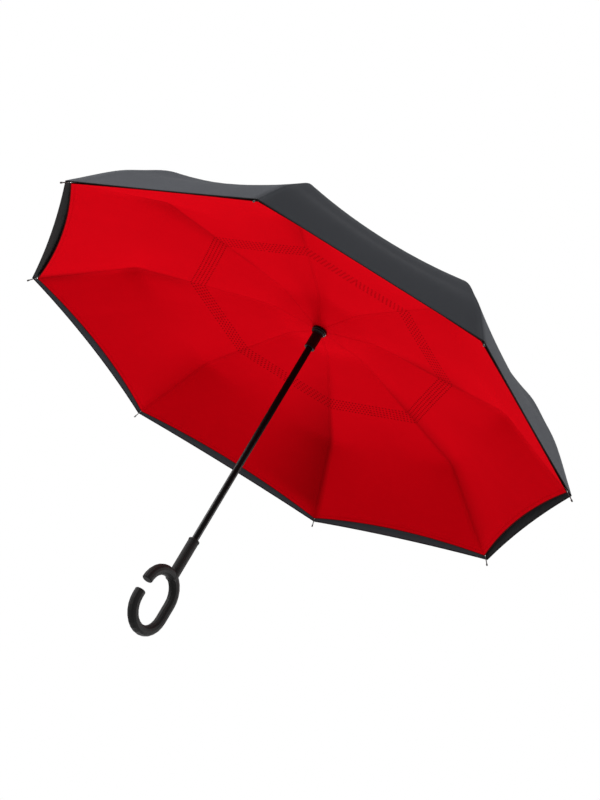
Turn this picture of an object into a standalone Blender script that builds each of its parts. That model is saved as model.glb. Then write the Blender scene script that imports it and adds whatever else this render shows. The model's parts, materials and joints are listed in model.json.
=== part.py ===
"""Inverted umbrella with two canopies, opened: C-shaped grip, shaft, sliding runner and eight folding arms.

Metres, +Z up along the shaft. The origin is on the shaft's axis, at the middle of the grip's loop.
The gap of the grip faces +X. Each arm is drawn once, in its own radial plane, and stands round the shaft
eight times.
"""

import math

import bmesh
import bpy
from mathutils import Matrix, Vector

# Whole umbrella
ARMS = 8
ARM_STEP = 2 * math.pi / ARMS
FIRST_ARM = math.radians(22.5)
RIM_Z = 0.466  # height of the rib tips above the middle of the grip's loop; rises are heights above it
TIP_RADIUS = 0.522  # shaft axis to the outer canopy's corners
GAP = 0.0004  # clearance between pieces that meet
CLOTH = 0.0009  # thickness of the canopy and of the lining

# Shaft
SHAFT_RADIUS = 0.006
SHAFT_WALL = 0.0009
SHAFT_OVER_CROWN = 0.020  # the shaft ends this far above the upper ribs' hinge, inside the cap
SHAFT_IN_GRIP = 0.062  # lower end of the tube, inside the grip's stem

# Grip
GRIP_TUBE_RADIUS = 0.0093
LOOP_RADIUS = 0.039
LOOP_STRAIGHT = 0.029
LOOP_OFFSET = 0.010  # the loop stands this far forward of the shaft's axis
LOOP_GAP_LOW = -0.0054
LOOP_GAP_HIGH = 0.0148
GRIP_END_EDGE = 0.0012
STEM_RADIUS = 0.0094
STEM_TOP = 0.127
STEM_FOOT = 0.046  # where the stem starts, inside the loop's tube
STEM_LIP = 0.0005
STEM_LIP_HEIGHT = 0.004

# Runner
RUNNER_FOOT_RISE = 0.0746
RUNNER_PIVOT_RISE = 0.145  # height of the ribs' hinge
RUNNER_RADIUS = 0.0095
RUNNER_NECK_RADIUS = 0.0105
FLANGE_RADIUS = 0.014
NECK_LENGTH = 0.0295  # the flange's top stands this far below the ribs' hinge
COLLAR_RADIUS = 0.0155
COLLAR_HEIGHT = 0.003

# Notched rings of the runner and of the crown, and the wires that the ribs hinge on
PIVOT_RADIUS = 0.014
RING_RADIUS = 0.0172
RING_HALF_HEIGHT = 0.008
RING_ROOT_RADIUS = 0.0104
WIRE_RADIUS = 0.0006
WIRE_GROOVE = 0.0010

# Crown and cap
CROWN_PIVOT_RISE = 0.226
CAP_RADIUS = 0.0145
CAP_HEIGHT = 0.034
CAP_TOP_RADIUS = 0.0055
WASHER_RADIUS = 0.0165
WASHER_HEIGHT = 0.0012

# Ribs
END_REACH = 0.155  # the knee stands this far in from the tip
KNEE_RADIUS = TIP_RADIUS - END_REACH
KNEE_RISE = 0.101
TIP_RISE = 0.003
TAB_LENGTH = 0.018  # hinge to the end of the flat tab, inside the flute
FLUTE_START = 0.0105
RIB_HALF_WIDTH = 0.0018
RIB_HALF_HEIGHT = 0.0020
SHEET = 0.0007  # steel of the fluted ribs
TAB_HALF_WIDTH = 0.0011
TAB_RADIUS = 0.0026
JOINT_SHARE = 0.6325  # the stand-off stands this share of the way out along the rib
JOINT_HEIGHT = 0.040  # stand-off's pivot above the rib
STANDOFF_HALF_WIDTH = 0.0020
SADDLE_HALF_WIDTH = 0.0024
SADDLE_HALF_LENGTH = 0.014
BOSS_RADIUS = 0.0032
UPPER_RIB_SIDE = 0.0046  # the upper rib runs this far beside the arm's plane
UPPER_RIB_HALF_WIDTH = 0.0016
UPPER_RIB_HALF_HEIGHT = 0.0018
STEP_START = 0.0195  # crown's hinge to the block that joins tab and flute
STEP_LENGTH = 0.0065
STEP_OVERLAP = 0.0015

# Knee, end rod and tip
KNEE_BOSS_RADIUS = 0.0032
KNEE_PIN_RADIUS = 0.0009
TONGUE_HALF_WIDTH = 0.0009
CHEEK_THICKNESS = 0.0013
ROD_RADIUS = 0.0015
LEVER_INNER = 0.0022
LEVER_OUTER = 0.0040
OUTER_ROD_SIDE = -0.0034  # the outer rod starts this far beside the arm's plane
SHOULDER_ROD_SIDE = 0.0012  # and the shoulder rod ends this far on the other side
SHOULDER_ROD_BOW = 0.007
ROD_SHORT = 0.010  # the end rod stops this far inside the outer canopy's corner
TIP_SLEEVE = 0.0023
TIP_SLEEVE_LENGTH = 0.011
TIP_NOSE_OUT = 0.009  # the nose ends this far past the corner
TIP_NOSE_RADIUS = 0.0008
TIP_BALL_RADIUS = 0.0013

# Ridge of the outer canopy, over the ribs: share of the tip's radius, and rise
OUTER_RIDGE = (
    (0.1341, 0.2320),
    (0.2299, 0.2215),
    (0.4215, 0.1975),
    (0.5747, 0.1780),
    (0.6609, 0.1654),
    (0.7471, 0.1455),
    (0.8238, 0.1118),
    (0.9004, 0.0738),
)
SHOULDER_POINT = 5  # the rods' joint at the canopy's shoulder stands under this point of the ridge
OUTER_SAG = 0.012  # how far the cloth hangs below the ridges, mid-gore
OUTER_SCALLOP = 0.002
ROD_UNDER_CLOTH = 0.0045

# Ridge of the lining: radius and rise out to where it meets the ribs, then shares of each rib's length
LINING_RIDGE = (
    (0.0300, 0.1185),
    (0.0600, 0.1220),
    (0.1000, 0.1275),
)
LINING_UNDER_RIB = (0.42, 0.59, 0.79, 0.914)
LINING_UNDER_ROD = (0.19, 0.44, 0.71)
LINING_SHORT = 0.009  # the lining's corner stops this far inside the outer canopy's
LINING_SAG = 0.006
LINING_SCALLOP = 0.006
LINING_LIFT = 0.014  # the hem's middle stands this far above its corners

# Catch that holds the runner up
CATCH_ANGLE = math.radians(225)
CATCH_HALF_WIDTH = 0.0014
CATCH_LENGTH = 0.014
CATCH_OUT = 0.0021
CATCH_BACK = 0.0030

ROUND_SIDES = 22
ROD_SIDES = 6
GORE_STEPS = 4


def rise(height):
    """World height of a rise above the rim plane."""
    return RIM_Z + height


def clear_scene():
    for old in list(bpy.data.objects):
        bpy.data.objects.remove(old, do_unlink=True)


def material(name, colour, roughness, metallic=0.0):
    made = bpy.data.materials.new(name)
    made.use_nodes = True
    shader = made.node_tree.nodes["Principled BSDF"]
    shader.inputs["Base Color"].default_value = (*colour, 1.0)
    shader.inputs["Roughness"].default_value = roughness
    shader.inputs["Metallic"].default_value = metallic
    return made


# Meshes

def mesh_of(points, faces, name="shape"):
    """A closed mesh with its faces pointing out."""
    mesh = bpy.data.meshes.new(name)
    shape = bmesh.new()
    corners = [shape.verts.new(point) for point in points]
    for face in faces:
        shape.faces.new([corners[i] for i in face])
    bmesh.ops.recalc_face_normals(shape, faces=shape.faces)
    shape.to_mesh(mesh)
    shape.free()
    return mesh


def lathe(profile, sides=ROUND_SIDES, closed=True):
    """Turns a profile of (radius, height) about Z. One that isn't closed starts and ends on the axis."""
    points, rings, faces = [], [], []
    for radius, height in profile:
        if radius < 1e-9:
            rings.append([len(points)] * sides)
            points.append((0, 0, height))
            continue
        rings.append(list(range(len(points), len(points) + sides)))
        for i in range(sides):
            turn = 2 * math.pi * i / sides
            points.append((radius * math.cos(turn), radius * math.sin(turn), height))
    pairs = list(zip(rings, rings[1:]))
    if closed:
        pairs.append((rings[-1], rings[0]))
    for low, high in pairs:
        for i in range(sides):
            j = (i + 1) % sides
            face = [low[i], low[j], high[j], high[i]]
            faces.append([c for n, c in enumerate(face) if c not in face[:n]])
    return mesh_of(points, faces)


def prism(outline, low, high):
    """An outline of (x, z) points in the arm's plane, thick from y = low to y = high."""
    count = len(outline)
    points = [(x, low, z) for x, z in outline] + [(x, high, z) for x, z in outline]
    faces = [list(range(count)), list(range(2 * count - 1, count - 1, -1))]
    for i in range(count):
        j = (i + 1) % count
        faces.append([i, j, count + j, count + i])
    return mesh_of(points, faces)


def tube(path, radius, sides=ROD_SIDES, radii=None):
    """A rod with closed ends along a path of points. It starts and ends square to the path."""
    path = [Vector(point) for point in path]
    points, faces = [], []
    side = None
    for i, centre in enumerate(path):
        ahead = (path[min(i + 1, len(path) - 1)] - path[max(i - 1, 0)]).normalized()
        if side is None:
            side = ahead.orthogonal().normalized()
        side = (side - ahead * side.dot(ahead)).normalized()
        other = ahead.cross(side)
        here = radii[i] if radii else radius
        for n in range(sides):
            turn = 2 * math.pi * (n + 0.5) / sides
            points.append(centre + here * (math.cos(turn) * side + math.sin(turn) * other))
    for ring in range(len(path) - 1):
        for n in range(sides):
            m = (n + 1) % sides
            start = ring * sides
            faces.append([start + n, start + m, start + sides + m, start + sides + n])
    faces.append(list(range(sides)))
    faces.append(list(range(len(points) - 1, len(points) - sides - 1, -1)))
    return mesh_of(points, faces)


def torus(radius, thickness, sides=40, round_sides=6):
    profile = []
    for i in range(round_sides):
        turn = 2 * math.pi * i / round_sides
        profile.append((radius + thickness * math.cos(turn), thickness * math.sin(turn)))
    return lathe(profile, sides)


def channel(start, end, half_width, half_height, place):
    """A fluted rib, open below, from start to end along the rib."""
    inner = half_width - SHEET
    section = (
        (-half_width, -half_height),
        (-half_width, half_height),
        (half_width, half_height),
        (half_width, -half_height),
        (inner, -half_height),
        (inner, half_height - SHEET),
        (-inner, half_height - SHEET),
        (-inner, -half_height),
    )
    points, faces = [], []
    for along in (start, end):
        for side, up in section:
            x, z = place(along, up)
            points.append((x, side, z))
    count = len(section)
    faces = [list(range(count)), list(range(2 * count - 1, count - 1, -1))]
    for i in range(count):
        j = (i + 1) % count
        faces.append([i, j, count + j, count + i])
    return mesh_of(points, faces)


def moved(mesh, offset):
    mesh.transform(Matrix.Translation(offset))
    return mesh


def arc(centre, radius, start, end, steps):
    """Points (x, z) on an arc, with angles in degrees."""
    points = []
    for i in range(steps + 1):
        turn = math.radians(start + (end - start) * i / steps)
        points.append((centre[0] + radius * math.cos(turn), centre[1] + radius * math.sin(turn)))
    return points


def carve(base, unions=(), cuts=()):
    """One mesh: base with the unions added and the cuts taken away."""
    body = bpy.data.objects.new("blank", base)
    bpy.context.scene.collection.objects.link(body)
    helpers = []
    for operation, meshes in (("UNION", unions), ("DIFFERENCE", cuts)):
        for mesh in meshes:
            tool = bpy.data.objects.new("tool", mesh)
            bpy.context.scene.collection.objects.link(tool)
            helpers.append(tool)
            step = body.modifiers.new(operation.lower(), "BOOLEAN")
            step.operation = operation
            step.solver = "EXACT"
            step.object = tool
    bpy.context.view_layer.update()
    graph = bpy.context.evaluated_depsgraph_get()
    result = bpy.data.meshes.new_from_object(body.evaluated_get(graph))
    for old in helpers + [body]:
        bpy.data.objects.remove(old, do_unlink=True)
    return result


def place_node(name, mesh, finish, location=(0, 0, 0), turn=0.0, sharp=35):
    mesh.materials.clear()
    mesh.materials.append(finish)
    mesh.shade_smooth()
    mesh.set_sharp_from_angle(angle=math.radians(sharp))
    node = bpy.data.objects.new(name, mesh)
    bpy.context.scene.collection.objects.link(node)
    node.location = location
    node.rotation_euler = (0, 0, turn)
    return node


def place_round(name, mesh, finish, radius, height):
    """One node for each arm, with its origin on the arm's hinge."""
    for k in range(ARMS):
        turn = FIRST_ARM + k * ARM_STEP
        spot = (radius * math.cos(turn), radius * math.sin(turn), height)
        place_node(f"{name}_{k + 1}", mesh, finish, spot, turn)


# The arm's plane: x is the distance from the shaft's axis, z the rise

RUNNER_PIVOT = Vector((PIVOT_RADIUS, RUNNER_PIVOT_RISE))
CROWN_PIVOT = Vector((PIVOT_RADIUS, CROWN_PIVOT_RISE))
KNEE = Vector((KNEE_RADIUS, KNEE_RISE))
TIP = Vector((TIP_RADIUS, TIP_RISE))
RIB_WAY = (KNEE - RUNNER_PIVOT).normalized()
RIB_UP = Vector((-RIB_WAY.y, RIB_WAY.x))
RIB_LENGTH = (KNEE - RUNNER_PIVOT).length
JOINT_ALONG = RIB_LENGTH * JOINT_SHARE
JOINT = RUNNER_PIVOT + RIB_WAY * JOINT_ALONG + RIB_UP * JOINT_HEIGHT
UPPER_WAY = (JOINT - CROWN_PIVOT).normalized()
UPPER_UP = Vector((-UPPER_WAY.y, UPPER_WAY.x))
UPPER_LENGTH = (JOINT - CROWN_PIVOT).length
END_WAY = (TIP - KNEE).normalized()
END_UP = Vector((-END_WAY.y, END_WAY.x))
END_LENGTH = (TIP - KNEE).length
RIDGE = [Vector((share * TIP_RADIUS, height)) for share, height in OUTER_RIDGE] + [TIP]


def under_cloth(index):
    """A point of the arm's rods, square under the outer canopy's ridge."""
    way = (RIDGE[index + 1] - RIDGE[index - 1]).normalized()
    return RIDGE[index] + Vector((way.y, -way.x)) * ROD_UNDER_CLOTH


SHOULDER = under_cloth(SHOULDER_POINT)


def frame_of(pivot, way, up):
    """Turns (along, up) of a rib into (x, z) seen from its pivot."""
    def place(along, above):
        spot = way * along + up * above
        return spot.x, spot.y
    return place


def seen_from(pivot, point, side=0.0):
    """A point of the arm's plane as (x, y, z) from a pivot."""
    return (point.x - pivot.x, side, point.y - pivot.y)


# Shaft and grip

def shaft_top():
    return rise(CROWN_PIVOT_RISE + SHAFT_OVER_CROWN)


def shaft():
    top = shaft_top()
    inner = SHAFT_RADIUS - SHAFT_WALL
    tube_mesh = lathe(
        [(SHAFT_RADIUS, SHAFT_IN_GRIP), (SHAFT_RADIUS, top), (inner, top), (inner, SHAFT_IN_GRIP)]
    )
    window_top = rise(RUNNER_FOOT_RISE)
    window = box_cut(CATCH_HALF_WIDTH + GAP, inner - 0.001, SHAFT_RADIUS + 0.001,
                     window_top - CATCH_LENGTH - 3 * GAP, window_top, CATCH_ANGLE)
    return carve(tube_mesh, cuts=[window])


def box_cut(half_width, near, far, low, high, turn):
    """A box that points out from the axis, at an angle about it."""
    mesh = prism([(near, low), (far, low), (far, high), (near, high)], -half_width, half_width)
    mesh.transform(Matrix.Rotation(turn, 4, "Z"))
    return mesh


def loop_path():
    """Centre line of the grip's loop, from the upper end of the gap round to the lower one."""
    half = LOOP_STRAIGHT / 2
    top = arc((LOOP_OFFSET, half), LOOP_RADIUS, 0, 180, 14)
    bottom = arc((LOOP_OFFSET, -half), LOOP_RADIUS, 180, 360, 14)
    front = LOOP_OFFSET + LOOP_RADIUS
    start = [(front, LOOP_GAP_HIGH)] if LOOP_GAP_HIGH < half - GRIP_END_EDGE else []
    return start + top + bottom + [(front, LOOP_GAP_LOW)]


def with_round_ends(route):
    """Adds a ring close to each end, where the tube's edge starts to turn in."""
    first = route[0] + (route[1] - route[0]).normalized() * GRIP_END_EDGE
    last = route[-1] + (route[-2] - route[-1]).normalized() * GRIP_END_EDGE
    path = [route[0], first, *route[1:-1], last, route[-1]]
    small = GRIP_TUBE_RADIUS - GRIP_END_EDGE
    return path, [small] + [GRIP_TUBE_RADIUS] * (len(path) - 2) + [small]


def grip():
    route = [Vector((x, 0, z)) for x, z in loop_path()]
    path, radii = with_round_ends(route)
    loop = tube(path, GRIP_TUBE_RADIUS, 14, radii)
    lip = STEM_RADIUS + STEM_LIP
    stem = lathe(
        [
            (0, STEM_FOOT),
            (STEM_RADIUS, STEM_FOOT),
            (STEM_RADIUS, STEM_TOP - STEM_LIP_HEIGHT),
            (lip, STEM_TOP - STEM_LIP_HEIGHT + STEM_LIP),
            (lip, STEM_TOP - STEM_LIP),
            (STEM_RADIUS, STEM_TOP),
            (0, STEM_TOP),
        ],
        closed=False,
    )
    bore_foot = SHAFT_IN_GRIP - GAP
    bore = lathe(
        [
            (0, bore_foot),
            (SHAFT_RADIUS + GAP, bore_foot),
            (SHAFT_RADIUS + GAP, STEM_TOP + STEM_LIP_HEIGHT),
            (0, STEM_TOP + STEM_LIP_HEIGHT),
        ],
        closed=False,
    )
    return carve(loop, unions=[stem], cuts=[bore])


# Runner, crown and cap

def flange_top():
    return rise(RUNNER_PIVOT_RISE - NECK_LENGTH)


def slots(pivot_height):
    """The eight slots that the ribs' tabs turn in."""
    low = pivot_height - 2 * RING_HALF_HEIGHT
    high = pivot_height + 2 * RING_HALF_HEIGHT
    cuts = []
    for k in range(ARMS):
        cuts.append(box_cut(TAB_HALF_WIDTH + GAP, RING_ROOT_RADIUS + GAP, RING_RADIUS + 0.002,
                            low, high, FIRST_ARM + k * ARM_STEP))
    return cuts


def ring_profile(pivot_height, bore):
    """The notched ring's section from its lower root round to its bore, with the groove for the wire."""
    low = pivot_height - RING_HALF_HEIGHT
    high = pivot_height + RING_HALF_HEIGHT
    floor = PIVOT_RADIUS - WIRE_RADIUS - GAP
    edge = 0.0008
    return [
        (RING_ROOT_RADIUS, low - edge),
        (RING_RADIUS - edge, low),
        (RING_RADIUS, low + edge),
        (RING_RADIUS, pivot_height - WIRE_GROOVE),
        (floor, pivot_height - WIRE_GROOVE),
        (floor, pivot_height + WIRE_GROOVE),
        (RING_RADIUS, pivot_height + WIRE_GROOVE),
        (RING_RADIUS, high - edge),
        (RING_RADIUS - edge, high),
        (bore, high),
    ]


def runner():
    bore = SHAFT_RADIUS + GAP
    foot = rise(RUNNER_FOOT_RISE)
    flange = flange_top()
    outline = [
        (bore, foot),
        (RUNNER_RADIUS - 0.0003, foot),
        (RUNNER_RADIUS + 0.0003, foot + 0.0006),
        (RUNNER_RADIUS + 0.0003, foot + 0.0030),
        (RUNNER_RADIUS - 0.0001, foot + 0.0036),
        (RUNNER_RADIUS, flange - 0.0115),
        (RUNNER_RADIUS + 0.0010, flange - 0.0085),
        (FLANGE_RADIUS - 0.0012, flange - 0.0068),
        (FLANGE_RADIUS - 0.0012, flange - 0.0048),
        (FLANGE_RADIUS, flange - 0.0040),
        (FLANGE_RADIUS, flange - 0.0005),
        (FLANGE_RADIUS - 0.0005, flange),
        (RUNNER_NECK_RADIUS, flange),
    ]
    pivot = rise(RUNNER_PIVOT_RISE)
    body = lathe(outline + ring_profile(pivot, bore))
    keyway = box_cut(CATCH_HALF_WIDTH + GAP, 0.004, SHAFT_RADIUS + CATCH_OUT + GAP,
                     foot - 0.01, pivot + 2 * RING_HALF_HEIGHT, CATCH_ANGLE)
    return carve(body, cuts=slots(pivot) + [keyway])


def runner_collar():
    low = flange_top() + CLOTH + 2 * GAP
    high = low + COLLAR_HEIGHT
    inner = RUNNER_NECK_RADIUS + GAP
    edge = 0.0006
    return lathe([
        (inner, low),
        (COLLAR_RADIUS, low),
        (COLLAR_RADIUS, high - edge),
        (COLLAR_RADIUS - edge, high),
        (inner, high),
    ])


def crown():
    pivot = rise(CROWN_PIVOT_RISE)
    bore = SHAFT_RADIUS + GAP
    low = pivot - RING_HALF_HEIGHT
    outline = [
        (bore, low - 0.004),
        (RING_ROOT_RADIUS - 0.0006, low - 0.004),
        (RING_ROOT_RADIUS, low - 0.0034),
    ]
    body = lathe(outline + ring_profile(pivot, bore))
    return carve(body, cuts=slots(pivot))


def crown_top():
    return rise(CROWN_PIVOT_RISE) + RING_HALF_HEIGHT


def canopy_washer():
    low = crown_top() + GAP + CLOTH + GAP
    inner = SHAFT_RADIUS + GAP
    return lathe([
        (inner, low),
        (WASHER_RADIUS, low),
        (WASHER_RADIUS, low + WASHER_HEIGHT * 0.6),
        (WASHER_RADIUS - 0.0008, low + WASHER_HEIGHT),
        (inner, low + WASHER_HEIGHT),
    ])


def cap_foot():
    return crown_top() + GAP + CLOTH + GAP + WASHER_HEIGHT + GAP


def end_cap():
    low = cap_foot()
    top = low + CAP_HEIGHT
    bore = SHAFT_RADIUS + GAP
    bore_top = shaft_top() + GAP
    return lathe(
        [
            (0, bore_top),
            (bore, bore_top),
            (bore, low),
            (CAP_RADIUS, low),
            (CAP_RADIUS, low + 0.0022),
            (CAP_RADIUS - 0.0012, low + 0.0034),
            (CAP_RADIUS - 0.0040, low + 0.0050),
            (CAP_RADIUS - 0.0052, low + 0.0085),
            (CAP_TOP_RADIUS + 0.0028, top - 0.0080),
            (CAP_TOP_RADIUS + 0.0020, top - 0.0030),
            (CAP_TOP_RADIUS + 0.0008, top - 0.0008),
            (CAP_TOP_RADIUS, top),
            (0, top),
        ],
        closed=False,
    )


def catch():
    """A wedge in the shaft's window. The runner stands on its flat top and rides up over its slope."""
    top = rise(RUNNER_FOOT_RISE) - GAP
    foot = top - CATCH_LENGTH
    out = SHAFT_RADIUS + CATCH_OUT
    outline = [
        (CATCH_BACK, foot),
        (SHAFT_RADIUS - 0.0002, foot),
        (out, top - 0.0035),
        (out, top - 0.0004),
        (out - 0.0004, top),
        (CATCH_BACK, top),
    ]
    mesh = prism(outline, -CATCH_HALF_WIDTH, CATCH_HALF_WIDTH)
    mesh.transform(Matrix.Rotation(CATCH_ANGLE, 4, "Z"))
    return mesh


# Arms

def disc(place, centre, radius, low, high, steps=7):
    """A round plate or pin across the arm's plane, at a distance along the rib."""
    outline = [place(centre + x, z) for x, z in arc((0, 0), radius, 0, 360 - 360 / (steps + 1), steps)]
    return prism(outline, low, high)


def lug(place, centre, radius, reach, half_height, low, high):
    """A round eye with a straight shank that runs from it to reach, both measured along the rib."""
    way = 1 if reach > centre else -1
    mouth = math.degrees(math.asin(half_height / radius))
    outline = []
    for x, z in arc((0, 0), radius, mouth, 360 - mouth, 10):
        outline.append(place(centre + way * x, z))
    outline.append(place(reach, -half_height))
    outline.append(place(reach, half_height))
    return prism(outline, low, high)


def bar(place, start, end, half_height, low, high):
    outline = [
        place(start, -half_height),
        place(end, -half_height),
        place(end, half_height),
        place(start, half_height),
    ]
    return prism(outline, low, high)


def rib():
    """The lower rib: a tab at the runner, the stand-off for the upper rib, and a tongue at the knee."""
    place = frame_of(RUNNER_PIVOT, RIB_WAY, RIB_UP)
    flute = channel(FLUTE_START, RIB_LENGTH - FLUTE_START, RIB_HALF_WIDTH, RIB_HALF_HEIGHT, place)
    tab = lug(place, 0, TAB_RADIUS, TAB_LENGTH, 0.0017, -TAB_HALF_WIDTH, TAB_HALF_WIDTH)
    tab_hole = disc(place, 0, WIRE_RADIUS + GAP, -0.004, 0.004)
    tongue = lug(place, RIB_LENGTH, KNEE_BOSS_RADIUS - 0.0002, RIB_LENGTH - TAB_LENGTH, 0.0017,
                 -TONGUE_HALF_WIDTH, TONGUE_HALF_WIDTH)
    tongue_hole = disc(place, RIB_LENGTH, KNEE_PIN_RADIUS + GAP, -0.004, 0.004)
    saddle = bar(place, JOINT_ALONG - SADDLE_HALF_LENGTH, JOINT_ALONG + SADDLE_HALF_LENGTH,
                 RIB_HALF_HEIGHT + 0.0006, -SADDLE_HALF_WIDTH, SADDLE_HALF_WIDTH)
    joint_x, joint_z = place(JOINT_ALONG, JOINT_HEIGHT)
    tilt = math.degrees(math.atan2(RIB_WAY.y, RIB_WAY.x))
    arm_outline = [
        place(JOINT_ALONG - SADDLE_HALF_LENGTH * 0.7, RIB_HALF_HEIGHT),
        place(JOINT_ALONG + SADDLE_HALF_LENGTH * 0.7, RIB_HALF_HEIGHT),
        place(JOINT_ALONG + 0.0034, RIB_HALF_HEIGHT + 0.012),
        *arc((joint_x, joint_z), BOSS_RADIUS, tilt - 10, tilt + 190, 6),
        place(JOINT_ALONG - 0.0034, RIB_HALF_HEIGHT + 0.012),
    ]
    stand_off = prism(arm_outline, -STANDOFF_HALF_WIDTH, STANDOFF_HALF_WIDTH)
    return carve(flute, unions=[tab, tongue, saddle, stand_off], cuts=[tab_hole, tongue_hole])


def upper_rib():
    """The upper rib: a tab at the crown, a step to the side, and a fluted run to the stand-off."""
    place = frame_of(CROWN_PIVOT, UPPER_WAY, UPPER_UP)
    side = UPPER_RIB_SIDE
    low = side - UPPER_RIB_HALF_WIDTH
    step_end = STEP_START + STEP_LENGTH
    flute_start = STEP_START + STEP_OVERLAP
    flute = channel(flute_start, UPPER_LENGTH - 0.006, UPPER_RIB_HALF_WIDTH, UPPER_RIB_HALF_HEIGHT, place)
    flute = moved(flute, (0, side, 0))
    tab = lug(place, 0, TAB_RADIUS, step_end - 2 * STEP_OVERLAP, 0.0016, -TAB_HALF_WIDTH, TAB_HALF_WIDTH)
    hole = disc(place, 0, WIRE_RADIUS + GAP, -0.004, 0.004)
    step = bar(place, STEP_START, step_end, UPPER_RIB_HALF_HEIGHT + 0.0003, -TAB_HALF_WIDTH - 0.0003,
               side + UPPER_RIB_HALF_WIDTH + 0.0003)
    end_plate = lug(place, UPPER_LENGTH, BOSS_RADIUS, UPPER_LENGTH - 0.0140, UPPER_RIB_HALF_HEIGHT - 0.0003,
                    low + 0.0002, low + 0.0016)
    rivet = disc(place, UPPER_LENGTH, 0.0012, STANDOFF_HALF_WIDTH + GAP, low + 0.0022)
    return carve(flute, unions=[step, tab, end_plate, rivet], cuts=[hole])


def shoulder_rod():
    """A sprung rod from the stand-off out under the canopy's shoulder."""
    middle = (JOINT + SHOULDER) / 2 + Vector((0, SHOULDER_ROD_BOW))
    start = JOINT + (middle - JOINT).normalized() * (BOSS_RADIUS + GAP)
    smooth = curve_through([start, middle, SHOULDER], 3)
    reach = len(smooth) - 1
    path = [seen_from(RUNNER_PIVOT, point, SHOULDER_ROD_SIDE * i / reach) for i, point in enumerate(smooth)]
    return tube(path, ROD_RADIUS)


def curve_through(points, steps):
    """Points of a smooth curve through the given ones."""
    made = []
    for i in range(len(points) - 1):
        before = points[max(i - 1, 0)]
        start, end = points[i], points[i + 1]
        after = points[min(i + 2, len(points) - 1)]
        for n in range(steps):
            t = n / steps
            made.append(
                0.5 * (2 * start + (end - before) * t
                       + (2 * before - 5 * start + 4 * end - after) * t * t
                       + (3 * start - before - 3 * end + after) * t ** 3)
            )
    return made + [points[-1]]


def end_section():
    """Fork at the knee, end rod, and the lever that carries the outer rod."""
    place = frame_of(KNEE, END_WAY, END_UP)
    inner = TONGUE_HALF_WIDTH + GAP
    outer = inner + CHEEK_THICKNESS
    left = lug(place, 0, KNEE_BOSS_RADIUS, 0.0150, 0.0023, inner, outer)
    right = lug(place, 0, KNEE_BOSS_RADIUS, 0.0150, 0.0023, -outer, -inner)
    block = bar(place, KNEE_BOSS_RADIUS + GAP, 0.0220, 0.0026, -outer - 0.0002, outer + 0.0002)
    pin = disc(place, 0, KNEE_PIN_RADIUS, -outer + 0.0003, outer - 0.0003)
    rod_end = END_LENGTH - ROD_SHORT
    rod_route = [place(0.014, 0), place(END_LENGTH * 0.5, 0), place(rod_end, 0)]
    rod = tube([(x, 0, z) for x, z in rod_route], ROD_RADIUS)
    shoulder = Vector((SHOULDER.x - KNEE.x, SHOULDER.y - KNEE.y))
    way = shoulder.normalized()
    across = Vector((way.y, -way.x))
    lever_outline = [
        tuple(across * -0.0030),
        tuple(across * 0.0080 + way * 0.004),
        tuple(across * 0.0024 + way * (shoulder.length * 0.5)),
        tuple(across * 0.0024 + shoulder),
        tuple(shoulder + way * 0.0022),
        tuple(across * -0.0024 + shoulder),
        tuple(across * -0.0024 + way * (shoulder.length * 0.5)),
    ]
    lever = prism(lever_outline, -LEVER_OUTER, -LEVER_INNER)
    join = TIP - END_WAY * (ROD_SHORT + TIP_SLEEVE_LENGTH + 0.002)
    outer_route = curve_through(
        [SHOULDER, under_cloth(SHOULDER_POINT + 1), under_cloth(SHOULDER_POINT + 2), join], 2
    )
    reach = len(outer_route) - 1
    outer_path = []
    for i, point in enumerate(outer_route):
        outer_path.append(seen_from(KNEE, point, OUTER_ROD_SIDE * min(1, 1.5 * (1 - i / reach))))
    outer_rod = tube(outer_path, ROD_RADIUS)
    return carve(block, unions=[left, right, pin, rod, lever, outer_rod])


def tip_cap():
    """Bright metal cap on the rod's end, with a thin nose that ends in a bead."""
    inner = ROD_RADIUS + GAP
    floor = GAP - ROD_SHORT
    foot = -ROD_SHORT - TIP_SLEEVE_LENGTH
    ball = TIP_NOSE_OUT
    profile = [
        (0, floor),
        (inner, floor),
        (inner, foot),
        (TIP_SLEEVE, foot),
        (TIP_SLEEVE, floor + 0.0006),
        (TIP_NOSE_RADIUS, floor + 0.0022),
        (TIP_NOSE_RADIUS, ball - TIP_BALL_RADIUS),
        (TIP_BALL_RADIUS, ball - TIP_BALL_RADIUS * 0.4),
        (TIP_BALL_RADIUS, ball + TIP_BALL_RADIUS * 0.4),
        (TIP_NOSE_RADIUS * 0.8, ball + TIP_BALL_RADIUS),
        (0, ball + TIP_BALL_RADIUS),
    ]
    mesh = lathe(profile, 8, closed=False)
    turn = math.atan2(END_WAY.x, END_WAY.y)
    mesh.transform(Matrix.Rotation(turn, 4, "Y"))
    return moved(mesh, seen_from(KNEE, TIP))


# Canopy and lining

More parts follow.
